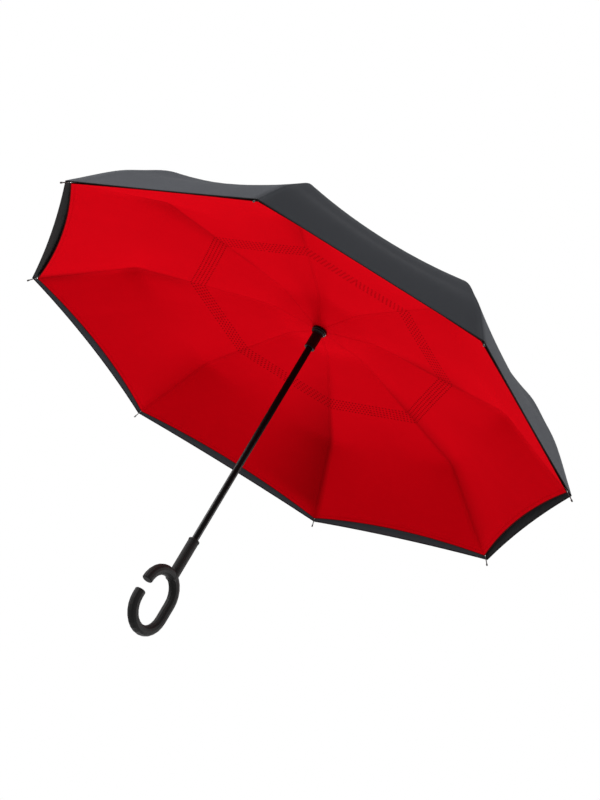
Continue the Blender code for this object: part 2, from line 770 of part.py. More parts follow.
def gore_cloth(ridge, flat_radius, sag, scallop, lift):
    """A closed sheet over all eight gores: flat and round at its hub, straight from arm to arm past it."""
    columns = ARMS * GORE_STEPS
    last = ridge[-1][0]
    points, faces = [], []
    for face_side in (0.5, -0.5):
        for radius, height in ridge:
            share = max(0.0, (radius - flat_radius) / (last - flat_radius))
            straight = min(1.0, share * 12)
            for column in range(columns):
                gore, step = divmod(column, GORE_STEPS)
                w = step / GORE_STEPS
                start = FIRST_ARM + gore * ARM_STEP
                a = Vector((math.cos(start), math.sin(start)))
                b = Vector((math.cos(start + ARM_STEP), math.sin(start + ARM_STEP)))
                middle = (a + b).normalized()
                bulge = 4 * w * (1 - w)
                chord = a * (1 - w) + b * w
                way = chord.normalized().lerp(chord, straight)
                flat = way * radius - middle * (bulge * scallop * share ** 3)
                drop = bulge * (sag * math.sin(math.pi * share) - lift * share ** 4)
                points.append((flat.x, flat.y, height - drop + face_side * CLOTH))
    rows = len(ridge)
    half = rows * columns
    for row in range(rows - 1):
        for i in range(columns):
            j = (i + 1) % columns
            low, high = row * columns, (row + 1) * columns
            for corners in ((low + i, high + i, high + j), (low + i, high + j, low + j)):
                faces.append(list(corners))
                faces.append([half + corner for corner in reversed(corners)])
    for row, flip in ((0, False), (rows - 1, True)):
        for i in range(columns):
            j = (i + 1) % columns
            edge = [row * columns + i, row * columns + j, half + row * columns + j, half + row * columns + i]
            faces.append(edge[::-1] if flip else edge)
    return mesh_of(points, faces)


def outer_canopy():
    top = crown_top() + GAP + CLOTH / 2
    hole = SHAFT_RADIUS + GAP
    corner = TIP + END_UP * (TIP_BALL_RADIUS + CLOTH)
    ridge = [(hole, top), (RING_RADIUS + 0.002, top)]
    ridge += [(point.x, rise(point.y)) for point in [*RIDGE[:-1], corner]]
    return gore_cloth(ridge, RING_RADIUS + 0.002, OUTER_SAG, OUTER_SCALLOP, 0.0)


def lining():
    seat = flange_top() + GAP + CLOTH / 2
    hole = RUNNER_NECK_RADIUS + GAP
    under_rib = RIB_HALF_HEIGHT + 0.0006 + GAP + CLOTH
    under_knee = KNEE_BOSS_RADIUS + GAP + CLOTH
    under_rod = TIP_SLEEVE + CLOTH
    control = [Vector(point) for point in LINING_RIDGE]
    for share in LINING_UNDER_RIB:
        control.append(RUNNER_PIVOT.lerp(KNEE, share) - RIB_UP * under_rib)
    control.append(KNEE - (RIB_UP + END_UP).normalized() * under_knee)
    for share in LINING_UNDER_ROD:
        control.append(KNEE.lerp(TIP, share) - END_UP * under_rod)
    control.append(TIP - END_WAY * LINING_SHORT - END_UP * under_rod)
    ridge = [(hole, seat), (COLLAR_RADIUS + 0.001, seat)]
    ridge += [(point.x, rise(point.y)) for point in control]
    return gore_cloth(ridge, COLLAR_RADIUS + 0.001, LINING_SAG, LINING_SCALLOP, LINING_LIFT)


def build():
    clear_scene()
    black_steel = material("black_steel", (0.012, 0.012, 0.014), 0.35, 0.6)
    plastic = material("black_plastic", (0.010, 0.010, 0.011), 0.45)
    rubber = material("soft_grip", (0.030, 0.030, 0.031), 0.62)
    glass_fibre = material("glass_fibre", (0.020, 0.020, 0.020), 0.40)
    bright = material("bright_steel", (0.62, 0.60, 0.57), 0.25, 1.0)
    grey_cloth = material("outer_cloth", (0.055, 0.062, 0.070), 0.80)
    red_cloth = material("lining_cloth", (0.600, 0.004, 0.010), 0.75)

    place_node("shaft", shaft(), black_steel)
    place_node("grip", grip(), rubber)
    place_node("runner", runner(), plastic)
    place_node("runner_collar", runner_collar(), plastic)
    place_node("crown", crown(), plastic)
    place_node("canopy_washer", canopy_washer(), plastic)
    place_node("end_cap", end_cap(), plastic)
    place_node("runner_catch", catch(), bright)
    for name, height in (("runner_wire", RUNNER_PIVOT_RISE), ("crown_wire", CROWN_PIVOT_RISE)):
        place_node(name, torus(PIVOT_RADIUS, WIRE_RADIUS), bright, (0, 0, rise(height)))

    place_round("rib", rib(), black_steel, PIVOT_RADIUS, rise(RUNNER_PIVOT_RISE))
    place_round("shoulder_rod", shoulder_rod(), glass_fibre, PIVOT_RADIUS, rise(RUNNER_PIVOT_RISE))
    place_round("upper_rib", upper_rib(), black_steel, PIVOT_RADIUS, rise(CROWN_PIVOT_RISE))
    place_round("end_rod", end_section(), glass_fibre, KNEE_RADIUS, rise(KNEE_RISE))
    place_round("tip_cap", tip_cap(), bright, KNEE_RADIUS, rise(KNEE_RISE))

    place_node("outer_canopy", outer_canopy(), grey_cloth, sharp=20)
    place_node("lining", lining(), red_cloth, sharp=20)


build()
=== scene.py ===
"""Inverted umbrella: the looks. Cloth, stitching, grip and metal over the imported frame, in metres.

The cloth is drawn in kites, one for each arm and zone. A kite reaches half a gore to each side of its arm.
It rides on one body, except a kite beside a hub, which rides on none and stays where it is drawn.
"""

import json
import math

import bmesh
import bpy
from mathutils import Matrix, Vector


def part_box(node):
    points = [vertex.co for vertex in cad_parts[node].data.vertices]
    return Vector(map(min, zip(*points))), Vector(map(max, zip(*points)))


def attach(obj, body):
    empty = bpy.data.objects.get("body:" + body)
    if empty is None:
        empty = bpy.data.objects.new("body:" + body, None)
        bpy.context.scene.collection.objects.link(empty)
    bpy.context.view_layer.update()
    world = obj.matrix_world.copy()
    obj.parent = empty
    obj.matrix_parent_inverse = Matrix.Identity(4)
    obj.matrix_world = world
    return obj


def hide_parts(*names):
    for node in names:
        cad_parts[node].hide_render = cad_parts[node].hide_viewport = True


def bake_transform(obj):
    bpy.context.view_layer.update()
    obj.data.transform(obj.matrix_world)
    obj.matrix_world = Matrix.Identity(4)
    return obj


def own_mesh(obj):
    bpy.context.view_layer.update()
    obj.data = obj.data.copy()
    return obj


# The tips lie near a plane under the runner's hinges
HUB_OVER_RIM = 0.145
TIP_RADIUS = 0.522
TIP_RISE = 0.003

# Cloth
CLOTH = 0.0006
HEM = 0.008
HEM_FOLD = 0.0006  # a folded hem is thicker than the cloth by this much
CLOTH_SEAT = 0.0009  # from a ring's face to the middle of the cloth that lies on it
PAST_WASHER = 0.003  # the outer cloth lies flat this far past its washer
PAST_COLLAR = 0.001  # and the lining past its collar
SHAFT_RADIUS = 0.0064
NECK_RADIUS = 0.0109
ROW_STEP = 0.009
SIDE_STEPS = 12
CURVE_STEPS = 8
HUB_ROUND = 12  # the cloth turns from round to straight-sided over one part in this many of its reach
HANG_POWER = 3  # how steeply scallops and hanging hems grow towards the rim
TINY = 1e-6

# Zones of the cloth, by the radius where each ends
OUTER_HUB_END = 0.050
OUTER_CROWN_END = 0.285  # the cloth rides on the crown's ribs up to here
SHOULDER_RADIUS = 0.388  # and on the knees' end rods from here
LINING_HUB_END = 0.038
LINING_CORE_END = 0.110

# Shares of width for the closed umbrella; the script only reads them to give a zone's kites meshes of their
# own
KEEP_CROWN = 0.10
KEEP_SHOULDER = 0.07
KEEP_RIM = 0.10
KEEP_LINING_CORE = 0.42
KEEP_LINING_INNER = 0.24
KEEP_LINING_RIM = 0.21

# Spare lining that laps over the zone inside the knee
KNEE_LAP = 0.036
LAP_AT_ARM = 0.25  # share of the lap at the arm, and its gain towards mid-gore
LAP_GAIN = 1.5
LAP_ROWS = 4
LAP_LIFT = 0.0009
LAP_FOOT = 0.0015  # from the zone's first row to where its lap starts

# Ridge of the outer canopy over an arm: radius, and height over the rim's plane
OUTER_RIDGE = (
    (0.0700, 0.2320),
    (0.1200, 0.2215),
    (0.2200, 0.1975),
    (0.3000, 0.1780),
    (0.3450, 0.1654),
    (0.3900, 0.1455),
    (0.4300, 0.1118),
    (0.4700, 0.0738),
)
OUTER_CORNER = (0.5290, -0.0010)
# How far its cloth hangs under the ridge at mid-gore
OUTER_DROP = (
    (0.0000, 0.0000),
    (0.0200, 0.0000),
    (0.0800, 0.0090),
    (0.1500, 0.0140),
    (0.2300, 0.0090),
    (0.3000, 0.0035),
    (0.3450, 0.0085),
    (0.3900, 0.0150),
    (0.4300, 0.0130),
    (0.4700, 0.0065),
    (0.5290, -0.0031),
)
OUTER_SCALLOP = 0.0052

# Ridge of the lining: over these points beside the hub, then under the rib, the knee and the end rod
LINING_HUB_RIDGE = (
    (0.0300, 0.1185),
    (0.0600, 0.1220),
    (0.1000, 0.1275),
)
LINING_RIB_RUNS = (0.15, 0.21, 0.28, 0.325)  # distances from the runner's hinge
LINING_ROD_RUNS = (0.035, 0.08, 0.13)  # distances from the knee
LINING_UNDER_RIB = 0.0040
LINING_UNDER_KNEE = 0.0046
LINING_UNDER_ROD = 0.0033
LINING_CORNER = (0.5198, 0.0020)
# Its curve at mid-gore: radius, and height over the rim's plane
LINING_MIDDLE = (
    (0.0300, 0.1185),
    (0.0600, 0.1216),
    (0.1000, 0.1263),
    (0.1500, 0.1218),
    (0.2000, 0.1166),
    (0.2600, 0.1090),
    (0.3000, 0.1022),
    (0.3400, 0.0929),
    (0.3800, 0.0799),
    (0.4200, 0.0632),
    (0.4600, 0.0432),
    (0.5000, 0.0205),
    (0.5198, 0.0086),
)
LINING_DROP_STEPS = 250
LINING_SCALLOP = 0.0129

# How much lower than the rest each gore's hem hangs, from the first arm on
OUTER_HANG = (0.0, 0.0, 0.0, 0.0017, 0.0022, -0.0030, 0.0, 0.0)
LINING_HANG = (-0.0038, -0.0062, 0.0010, 0.0, 0.0010, -0.0008, 0.0, -0.0054)

# Colours of the cloth: lit, and a darker copy that stands for shade painted into its creases, seam lines,
# holes and folds, and that its stitches take too
OUTER_GREY = (0.051, 0.054, 0.062)
OUTER_GREY_DARK = (0.039, 0.042, 0.049)
LINING_RED = (0.640, 0.0003, 0.0055)
LINING_RED_DARK = (0.520, 0.0002, 0.0040)
HEM_EDGE_SHADOW_BLACK = (0.006, 0.0055, 0.0055)
INSIDE_GREY = (0.0095, 0.0088, 0.0088)  # the outer cloth's inside where light hardly reaches it
# How much of that grey each gore has, from the first arm on
INSIDE_SHADE = (0.60, 0.70, 0.80, 0.10, 0.00, 0.10, 1.00, 0.70)

# Weave, creases, seams over the arms, stitches and hems
THREAD_SCALE = 900
SHEEN_ROUGHNESS = 0.4
CREASE_STRETCH = (5.0, 1.5, 1.0)
CREASE_SCALE = 3.0
CREASE_DETAIL = 1.5
SEAM_HALF = 0.0030
SEAM_LINE_HALF = 0.0010
SEAM_STITCHES = (0.0019, 0.0026)  # from the seam's middle
HEM_STITCHES = (0.0012, 0.0020)  # from the hem's inner edge
STITCH_PITCH = 0.0034
STITCH_GAP = -0.2  # a stitch shows where a sine wave of that pitch is over this
HEM_EDGE = 0.0016  # painted shadow along the hems' edges, from the gap between the two cloths

# Heights in the cloth's bump
SEAM_HEIGHT = 0.00035
HEM_HEIGHT = 0.0003
STITCH_DIP = 0.0002
HOLE_DIP = 0.0003
WEAVE_HEIGHT = 0.00004
CREASE_HEIGHT = 0.0020

# How strongly each mark tints the cloth, and how dark its own colour is. The crease, seam, edge and hole
# tints are painted shade.
CREASE_SHADE_TINT = 0.25
STITCH_TINT = 0.55
SEAM_LINE_SHADE_TINT = 0.11
HEM_EDGE_SHADOW_TINT = 0.85
HOLE_SHADE_TINT = 0.95
STITCH_DARK = 0.35
SHADE_DARK = 0.30

# Stitched band across the lining: rows of holes
BAND_RADIUS = 0.2460
BAND_WIDTH = 0.0328
BAND_PITCH = 0.0066
BAND_COLUMN_PITCH = BAND_PITCH * 1.2
HOLE_RADIUS = 0.0014
HOLE_REACH = 1.3  # a hole's soft edge ends here and is this wide, in hole radii
HOLE_SOFT = 0.6

# Shade painted into the lining's colour beside the arms, where it folds: arm, side, radius from and to, fade
# at the inner end, share of the gore, and how deep the painted shade is
PAINTED_FOLD_SHADES = (
    (1, -1, 0.24, 0.38, 0.05, 0.16, 0.20),
    (3, -1, 0.13, 0.30, 0.06, 0.20, 0.30),
    (3, 1, 0.20, 0.36, 0.06, 0.08, 0.12),
    (3, 1, 0.45, 0.55, 0.04, 0.06, 0.25),
    (4, -1, 0.15, 0.52, 0.07, 0.20, 0.30),
    (4, -1, 0.23, 0.37, 0.03, 0.07, 0.30),
    (5, -1, 0.12, 0.27, 0.05, 0.10, 0.20),
    (5, 1, 0.10, 0.52, 0.28, 0.50, 0.62),
    (5, 1, 0.47, 0.55, 0.03, 0.06, 0.45),
    (6, -1, 0.20, 0.34, 0.05, 0.08, 0.12),
    (6, 1, 0.34, 0.52, 0.06, 0.25, 0.12),
    (7, -1, 0.24, 0.40, 0.05, 0.12, 0.28),
    (7, -1, 0.43, 0.55, 0.05, 0.09, 0.22),
    (7, 1, 0.40, 0.56, 0.09, 0.05, 0.50),
    (8, -1, 0.20, 0.42, 0.06, 0.14, 0.26),
    (8, 1, 0.14, 0.24, 0.04, 0.12, 0.16),
)
FOLD_OUTER_FADE = 0.03
FOLD_SHARPNESS = 1.3

# Finishes of the frame: name, colour, roughness, scale and depth of the grain, metallic, specular, pieces
FINISHES = (
    ("grip_rubber", (0.0130, 0.0130, 0.0130), 0.70, 1500, 0.000002, 0.0, 0.12, ("grip",)),
    ("shaft_paint", (0.0020, 0.0020, 0.0022), 0.38, 900, 0.000002, 0.0, 0.06, ("shaft",)),
    ("runner_plastic", (0.0030, 0.0030, 0.0032), 0.32, 1500, 0.000002, 0.0, 0.15,
     ("runner", "runner_collar")),
    ("cap_plastic", (0.010, 0.010, 0.011), 0.36, 1500, 0.000005, 0.0, 0.5,
     ("crown", "canopy_washer", "end_cap")),
    ("rib_steel", (0.012, 0.012, 0.013), 0.38, 700, 0.00001, 0.4, 0.5, ("rib", "upper_rib")),
    ("rod_fibre", (0.015, 0.015, 0.016), 0.45, 1200, 0.00003, 0.0, 0.5, ("shoulder_rod", "end_rod")),
    ("bright_metal", (0.60, 0.58, 0.55), 0.28, 900, 0.00001, 1.0, 0.5, ("runner_wire", "crown_wire")),
    ("catch_metal", (0.10, 0.10, 0.10), 0.35, 900, 0.00001, 1.0, 0.5, ("runner_catch",)),
)
SLEEVE_METAL = ("sleeve_metal", (0.72, 0.71, 0.70), 0.25, 900, 0.00001, 1.0, 0.5)
PIN_METAL = ("pin_metal", (0.10, 0.098, 0.095), 0.32, 900, 0.00001, 1.0, 0.5)
GRAIN_DETAIL = 4.0
WEAR_SCALE = 35.0
WEAR_DETAIL = 3.0
WEAR_LIGHTER = 1.35
WEAR_TINT = 0.5
WEAR_ROUGHNESS = 0.16  # how far the roughness varies in all

# Metal tips: a sleeve, with distances back from the arm's end, and a pin with a bead
SLEEVE_FOOT = 0.021
SLEEVE_HEAD = 0.0020
SLEEVE_RADIUS = 0.0022
SLEEVE_BEVEL = 0.0012
SLEEVE_MOUTH = SLEEVE_RADIUS * 0.8
PIN_RADIUS = 0.0010
PIN_ROOT = (0.0016, PIN_RADIUS * 1.4)  # distance from the sleeve, and radius
PIN_START = 0.0030
PIN_END = (0.5338, -0.0095)  # radius, and height over the rim's plane
BEAD_RADIUS = 0.0016
BEAD_NECK = BEAD_RADIUS * 2.2  # distances back from the bead's middle
BEAD_FOOT = BEAD_RADIUS * 1.7
BEAD_SHOULDER = BEAD_RADIUS * 0.4  # and past it
TIP_SIDES = 12
TIP_SHARP = math.radians(40)

# Camera, fitted to the photograph of 600 by 800 pixels
CAMERA_PLACE = Vector((2.2675, 2.0924, -0.9782))
CAMERA_RIGHT = Vector((-0.4185, 0.7816, 0.4626))
CAMERA_DOWN = Vector((-0.6091, 0.1363, -0.7812))
CAMERA_FORWARD = Vector((-0.6736, -0.6087, 0.4191))
CAMERA_SIGHT = 100  # how far it sees
PHOTO_HEIGHT = 800
FOCAL_PIXELS = 1966.85
SENSOR_MM = 36

# Studio
FLOOR_Z = -6.0
FLOOR_HALF = 400
FLOOR_WHITE = (0.86, 0.86, 0.86, 1)
FLOOR_ROUGHNESS = 0.9
FLOOR_GLOW = 0.42  # added where the camera sees the floor, so that it is nearly white
WORLD_AROUND = 0.54  # strength of the white world as a light, against 1 where it is seen or mirrored
WHITE = (1, 1, 1, 1)
# Lights: name, direction about the shaft and climb in degrees, distance, size, power
LIGHTS = (
    ("key", 199, -28, 8.0, 4.0, 435),
    ("left", 306, 12, 4.0, 1.5, 210),
    ("right", 144, 12, 4.0, 1.5, 135),
)

# Places taken from the frame
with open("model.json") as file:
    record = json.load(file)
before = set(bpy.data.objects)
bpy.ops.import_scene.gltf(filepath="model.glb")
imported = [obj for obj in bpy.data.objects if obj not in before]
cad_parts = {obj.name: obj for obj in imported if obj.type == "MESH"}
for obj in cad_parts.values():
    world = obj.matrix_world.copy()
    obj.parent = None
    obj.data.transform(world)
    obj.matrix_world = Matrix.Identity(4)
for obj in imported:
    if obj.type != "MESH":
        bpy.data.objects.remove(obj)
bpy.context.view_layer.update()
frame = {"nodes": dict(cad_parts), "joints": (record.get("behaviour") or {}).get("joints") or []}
JOINTS = {joint["name"]: joint for joint in frame["joints"]}
ARMS = sum(name.startswith("rib_swing_") for name in JOINTS)
ARM_STEP = 2 * math.pi / ARMS
HALF_GORE = ARM_STEP / 2


def pivot(name):
    """A hinge's place as (distance from the shaft's axis, height)."""
    x, y, z = JOINTS[name]["pos_m"]
    return Vector((math.hypot(x, y), z))


def arm_angle(arm):
    x, y, _ = JOINTS[f"rib_swing_{arm}"]["pos_m"]
    return math.atan2(y, x)


RUNNER_PIVOT = pivot("rib_swing_1")
KNEE = pivot("knee_fold_1")
RIM_Z = RUNNER_PIVOT.y - HUB_OVER_RIM
TIP = Vector((TIP_RADIUS, RIM_Z + TIP_RISE))
RIB_WAY = (KNEE - RUNNER_PIVOT).normalized()
RIB_UP = Vector((-RIB_WAY.y, RIB_WAY.x))
END_WAY = (TIP - KNEE).normalized()
END_UP = Vector((-END_WAY.y, END_WAY.x))
OUTER_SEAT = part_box("crown")[1][2] + CLOTH_SEAT
LINING_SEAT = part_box("runner_collar")[0][2] - CLOTH_SEAT
OUTER_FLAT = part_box("canopy_washer")[1][0] + PAST_WASHER
LINING_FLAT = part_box("runner_collar")[1][0] + PAST_COLLAR


# Curves and the cloth's surface

def smooth_curve(points):
    """Points of a smooth curve through the given ones."""
    made = []
    for i in range(len(points) - 1):
        before = points[max(i - 1, 0)]
        start, end = points[i], points[i + 1]
        after = points[min(i + 2, len(points) - 1)]
        for n in range(CURVE_STEPS):
            t = n / CURVE_STEPS
            made.append(
                0.5 * (2 * start + (end - before) * t
                       + (2 * before - 5 * start + 4 * end - after) * t * t
                       + (3 * start - before - 3 * end + after) * t ** 3)
            )
    return made + [points[-1]]


def along(table, x):
    """The value at x of a table of (x, value), straight between its entries."""
    if x <= table[0][0]:
        return table[0][1]
    for (x0, y0), (x1, y1) in zip(table, table[1:]):
        if x <= x1:
            return y0 + (y1 - y0) * (x - x0) / (x1 - x0)
    return table[-1][1]


def over_rim(table):
    """Points for a table of (radius, height over the rim's plane)."""
    return [Vector((radius, RIM_Z + rise)) for radius, rise in table]


def outer_ridge_table():
    points = [Vector((OUTER_FLAT, OUTER_SEAT))]
    points += over_rim(OUTER_RIDGE)
    points += over_rim([OUTER_CORNER])
    return [(0.0, OUTER_SEAT)] + [(point.x, point.y) for point in smooth_curve(points)]


def lining_ridge_table():
    points = [Vector((LINING_FLAT, LINING_SEAT))]
    points += over_rim(LINING_HUB_RIDGE)
    points += [RUNNER_PIVOT + RIB_WAY * run - RIB_UP * LINING_UNDER_RIB for run in LINING_RIB_RUNS]
    points.append(KNEE - (RIB_UP + END_UP).normalized() * LINING_UNDER_KNEE)
    points += [KNEE + END_WAY * run - END_UP * LINING_UNDER_ROD for run in LINING_ROD_RUNS]
    points += over_rim([LINING_CORNER])
    return [(0.0, LINING_SEAT)] + [(point.x, point.y) for point in smooth_curve(points)]


def lining_drop_table():
    """How far the lining's middle curve lies under its ridge, mid-gore, at close steps."""
    ridge = lining_ridge_table()
    middle = [(point.x, point.y) for point in smooth_curve(over_rim(LINING_MIDDLE))]
    start = LINING_MIDDLE[0][0]
    made = [(0.0, 0.0), (start, 0.0)]
    for i in range(1, LINING_DROP_STEPS + 1):
        radius = start + (LINING_CORNER[0] - start) * i / LINING_DROP_STEPS
        made.append((radius, along(ridge, radius) - along(middle, radius)))
    return made


def gore_of(arm, share):
    """The number of the gore on that side of an arm. Gore 0 lies between the first arm and the second."""
    return (arm - 1 if share > 0 else arm - 2) % ARMS


class Cloth:
    """The surface of one canopy: a place for each radius along the ridge and share of the gore."""

    def __init__(self, ridge, drop, hole, flat, last, scallop, hang):
        self.ridge = ridge
        self.drop = drop
        self.hole = hole
        self.flat = flat
        self.last = last
        self.scallop = scallop
        self.hang = hang

    def place(self, arm, radius, share):
        """share runs from -0.5, mid-gore on one side of the arm, to 0.5 on the other."""
        start = arm_angle(arm)
        side = 1 if share >= 0 else -1
        w = abs(share)
        a = Vector((math.cos(start), math.sin(start)))
        b = Vector((math.cos(start + side * ARM_STEP), math.sin(start + side * ARM_STEP)))
        chord = a * (1 - w) + b * w
        reach = max(0.0, (radius - self.flat) / (self.last - self.flat))
        way = chord.normalized().lerp(chord, min(1.0, reach * HUB_ROUND))
        bulge = 4 * w * (1 - w)
        middle = (a + b).normalized()
        spot = way * radius - middle * (bulge * self.scallop * reach ** HANG_POWER)
        height = along(self.ridge, radius) - bulge * along(self.drop, radius)
        height -= bulge * reach ** HANG_POWER * self.hang[gore_of(arm, share)]
        return Vector((spot.x, spot.y, height))

    def normal(self, arm, radius, share):
        """Points up, away from the grip. At mid-gore, where two kites meet, it leans to neither."""
        step_radius = 0.002
        step_share = 0.01
        low = max(self.hole, radius - step_radius)
        high = min(self.last, radius + step_radius)
        out = self.place(arm, high, share) - self.place(arm, low, share)
        if abs(abs(share) - 0.5) < TINY:
            side = 1 if share > 0 else -1
            near = self.place(arm, radius, share - side * step_share)
            turn = arm_angle(arm) + side * HALF_GORE
            plane = Vector((-math.sin(turn), math.cos(turn), 0))
            apart = plane * (2 * plane.dot(self.place(arm, radius, share) - near))
            across = apart * side
        else:
            before = self.place(arm, radius, share - step_share)
            across = self.place(arm, radius, share + step_share) - before
        return out.cross(across).normalized()


OUTER = Cloth(
    ridge=outer_ridge_table(),
    drop=OUTER_DROP,
    hole=SHAFT_RADIUS,
    flat=OUTER_FLAT,
    last=OUTER_CORNER[0],
    scallop=OUTER_SCALLOP,
    hang=OUTER_HANG,
)
LINING = Cloth(
    ridge=lining_ridge_table(),
    drop=lining_drop_table(),
    hole=NECK_RADIUS,
    flat=LINING_FLAT,
    last=LINING_CORNER[0],
    scallop=LINING_SCALLOP,
    hang=LINING_HANG,
)


# Kites of cloth

def painted_fold_shade(arm, radius, share):
    """How far a point of the lining's colour is darkened by the shade painted beside a fold, from 0 to 1."""
    depth = 0.0
    for fold_arm, side, start, end, fade, reach, strength in PAINTED_FOLD_SHADES:
        if fold_arm != arm or share * side < 0:
            continue
        inner = min(1.0, max(0.0, (radius - start) / fade))
        outer = min(1.0, max(0.0, (end - radius) / FOLD_OUTER_FADE))
        beside = max(0.0, 1 - abs(share) / reach) ** FOLD_SHARPNESS
        depth = max(depth, strength * inner * outer * beside)
    return depth


def kite_rows(cloth, start, end, share, lap):
    """Radius and lift of a kite's rows at one share.

    Zones meet in straight lines across the arm, as a hinge does. A lap is spare cloth that reaches in over
    the next zone, where it is hidden until the hinge folds.
    """
    rows = max(2, round((end - start) / ROW_STEP))
    w = abs(share)
    widen = 1 / (1 - w + w * math.cos(ARM_STEP))
    hemmed = end >= cloth.last - TINY
    first = start if start <= cloth.hole + TINY else start * widen
    last = end - HEM if hemmed else end * widen
    made = [(first + (last - first) * i / rows, 0.0) for i in range(rows + 1)]
    if hemmed:
        made.append((end, 0.0))
    if lap:
        reach = lap * (LAP_AT_ARM + LAP_GAIN * w)
        spare = [(first - reach * i / LAP_ROWS, LAP_LIFT) for i in range(LAP_ROWS, 0, -1)]
        made = spare + [(first - LAP_FOOT, LAP_LIFT)] + made
    return made


def kite_points(cloth, arm, shares, columns, end):
    """Points of both skins, with their normals, their marks on the flat cloth, and their shade."""
    middle = []
    for row in zip(*columns):
        for share, (radius, lift) in zip(shares, row):
            half = CLOTH / 2
            if end >= cloth.last - TINY and radius > cloth.last - HEM - TINY:
                half += HEM_FOLD / 2
            up = cloth.normal(arm, radius, share)
            middle.append((share, radius, cloth.place(arm, radius, share) + up * lift, up, half))
    points, normals, marks, shades = [], [], [], []
    for side in (1, -1):
        for share, radius, spot, up, half in middle:
            points.append(spot + up * (half * side))
            normals.append(up * side)
            marks.append((2 * share * radius * math.tan(HALF_GORE), radius))
            # painted shade: of the folds on the lining, and of the outer cloth's inside where light hardly
            # reaches
            fold = painted_fold_shade(arm, radius, share) if cloth is LINING else 0.0
            shades.append((fold, INSIDE_SHADE[gore_of(arm, share)] if side < 0 else 0.0))
    return points, normals, marks, shades


def kite_faces(rows, count):
    """Corner numbers of a kite's faces: those of both skins in turn, and the strips that close its edges."""
    below = rows * count
    skins, edges = [], []
    for i in range(rows - 1):
        for j in range(count - 1):
            low = i * count + j
            high = low + count
            skins.append((low, high, high + 1, low + 1))
            skins.append((below + low + 1, below + high + 1, below + high, below + low))
    last = (rows - 1) * count
    for j in range(count - 1):
        edges.append((last + j, below + last + j, below + last + j + 1, last + j + 1))
        edges.append((j + 1, below + j + 1, below + j, j))
    far = count - 1
    for i in range(rows - 1):
        low = i * count
        high = low + count
        edges.append((low, below + low, below + high, high))
        edges.append((high + far, below + high + far, below + low + far, low + far))
    return skins, edges


def kite(name, cloth, arm, start, end, finish, body, keep, lap):
    """One kite of cloth with real thickness. It has the whole canopy's normals, so that kites join unseen."""
    shares = [(j / SIDE_STEPS - 1) / 2 for j in range(2 * SIDE_STEPS + 1)]
    columns = [kite_rows(cloth, start, end, share, lap) for share in shares]
    points, normals, marks, shades = kite_points(cloth, arm, shares, columns, end)
    skins, edges = kite_faces(len(columns[0]), len(shares))
    loop_normals = [normals[corner] for face in skins for corner in face]
    for face in edges:
        a, b, c = (points[corner] for corner in face[:3])
        loop_normals += [(b - a).cross(c - a).normalized()] * len(face)
    mesh = bpy.data.meshes.new(name)
    mesh.from_pydata(points, [], skins + edges)
    mark_layer = mesh.uv_layers.new(name="cloth")
    # the map named fold carries painted shade for the material
    shade_layer = mesh.uv_layers.new(name="fold")
    for loop in mesh.loops:
        mark_layer.data[loop.index].uv = marks[loop.vertex_index]
        shade_layer.data[loop.index].uv = shades[loop.vertex_index]
    mesh.shade_smooth()
    mesh.normals_split_custom_set(loop_normals)
    mesh.materials.append(finish)
    piece = bpy.data.objects.new(name, mesh)
    bpy.context.scene.collection.objects.link(piece)
    if isinstance(body, tuple):
        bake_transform(piece)
    else:
        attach(piece, body)
    if keep:
        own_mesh(piece)
    return piece


# Materials

def new_material(name):
    made = bpy.data.materials.new(name)
    made.use_nodes = True
    return made, made.node_tree.nodes, made.node_tree.links


def node(nodes, kind, **values):
    made = nodes.new(kind)
    for key, value in values.items():
        setattr(made, key, value)
    return made


def shaded(colour, share):
    """A darker or lighter colour, with alpha."""
    return (*[c * share for c in colour], 1)


class Sums:
    """Short ways to add math nodes to a material."""

    def __init__(self, nodes, links):
        self.nodes = nodes
        self.links = links

    def feed(self, socket, value):
        if isinstance(value, bpy.types.NodeSocket):
            self.links.new(value, socket)
        else:
            socket.default_value = value

    def math(self, operation, first, second=0.0, clamp=False):
        made = node(self.nodes, "ShaderNodeMath", operation=operation, use_clamp=clamp)
        self.feed(made.inputs[0], first)
        self.feed(made.inputs[1], second)
        return made.outputs[0]

    def above(self, value, low, soft):
        """1 where value is over low, with a soft edge."""
        return self.math("DIVIDE", self.math("SUBTRACT", value, low), soft, clamp=True)

    def below(self, value, high, soft):
        """1 where value is under high, with a soft edge."""
        return self.math("DIVIDE", self.math("SUBTRACT", high, value), soft, clamp=True)

    def between(self, value, low, high, soft):
        return self.math("MULTIPLY", self.above(value, low, soft), self.below(value, high, soft))

    def off_middle(self, value):
        """How far value is from the middle of its cell, where cells are 1 wide."""
        return self.math("ABSOLUTE", self.math("SUBTRACT", self.math("FRACT", value), 0.5))

    def mix(self, share, first, second):
        made = node(self.nodes, "ShaderNodeMix", data_type="RGBA")
        self.feed(made.inputs[0], share)
        self.feed(made.inputs[6], first)
        self.feed(made.inputs[7], second)
        return made.outputs[2]


def set_bump(nodes, links, shader, height):
    """Heights in metres become the shader's normal."""
    bump = node(nodes, "ShaderNodeBump")
    bump.inputs["Strength"].default_value = 1.0
    bump.inputs["Distance"].default_value = 1.0
    links.new(height, bump.inputs["Height"])
    links.new(bump.outputs[0], shader.inputs["Normal"])


def split_map(nodes, links, name):
    """The two channels of a UV map, and the map itself."""
    mark = node(nodes, "ShaderNodeUVMap", uv_map=name)
    split = node(nodes, "ShaderNodeSeparateXYZ")
    links.new(mark.outputs[0], split.inputs[0])
    return split.outputs[0], split.outputs[1], mark.outputs[0]


def weave_pattern(nodes, links, sums, mark):
    """Crossing threads."""
    threads = []
    for direction in ("X", "Y"):
        wave = node(nodes, "ShaderNodeTexWave", bands_direction=direction)
        wave.inputs["Scale"].default_value = THREAD_SCALE
        links.new(mark, wave.inputs["Vector"])
        threads.append(wave.outputs["Fac"])
    return sums.math("MAXIMUM", *threads)


